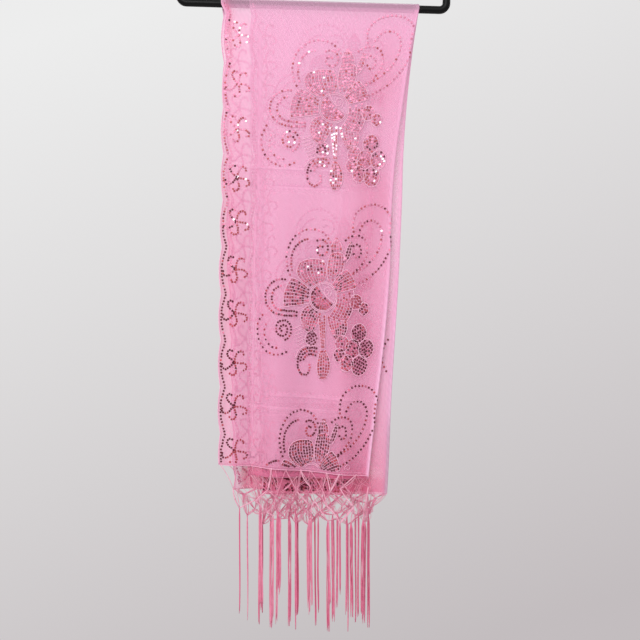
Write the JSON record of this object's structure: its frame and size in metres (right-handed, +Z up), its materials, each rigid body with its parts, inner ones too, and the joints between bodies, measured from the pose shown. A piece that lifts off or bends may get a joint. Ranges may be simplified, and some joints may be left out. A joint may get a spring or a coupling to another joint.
{
  "type": "shawl on a clothes hanger",
  "caption": "Sheer shawl with scalloped edges and a knotted fringe, folded lengthwise and hung over the bar of a tubular clothes hanger.",
  "frame": {"origin": "the rest point inside the top of the hanger's hook", "axes": "+X to the right along the hanger, -Y towards the front of the shawl, +Z up; the hanger hangs 1.7 degrees lower on its right"},
  "size_m": [0.42, 0.0351, 1.1872],
  "materials": {
    "shawl_cloth": "sheer pink mesh cloth with a soft sheen",
    "fringe_yarn": "twisted rayon yarn, knotted",
    "hanger_plastic": "black moulded plastic"
  },
  "bodies": {
    "root": {"hanger_frame": "hanger_plastic", "hanger_hook": "hanger_plastic", "front_outer_leaf": "shawl_cloth", "front_inner_leaf": "shawl_cloth", "back_inner_leaf": "shawl_cloth", "back_outer_leaf": "shawl_cloth", "front_side_fold": "shawl_cloth", "back_side_fold": "shawl_cloth", "saddle_outer": "shawl_cloth", "saddle_inner": "shawl_cloth", "front_outer_fringe": "fringe_yarn", "front_inner_fringe": "fringe_yarn", "back_inner_fringe": "fringe_yarn", "back_outer_fringe": "fringe_yarn"}
  },
  "joints": []
}
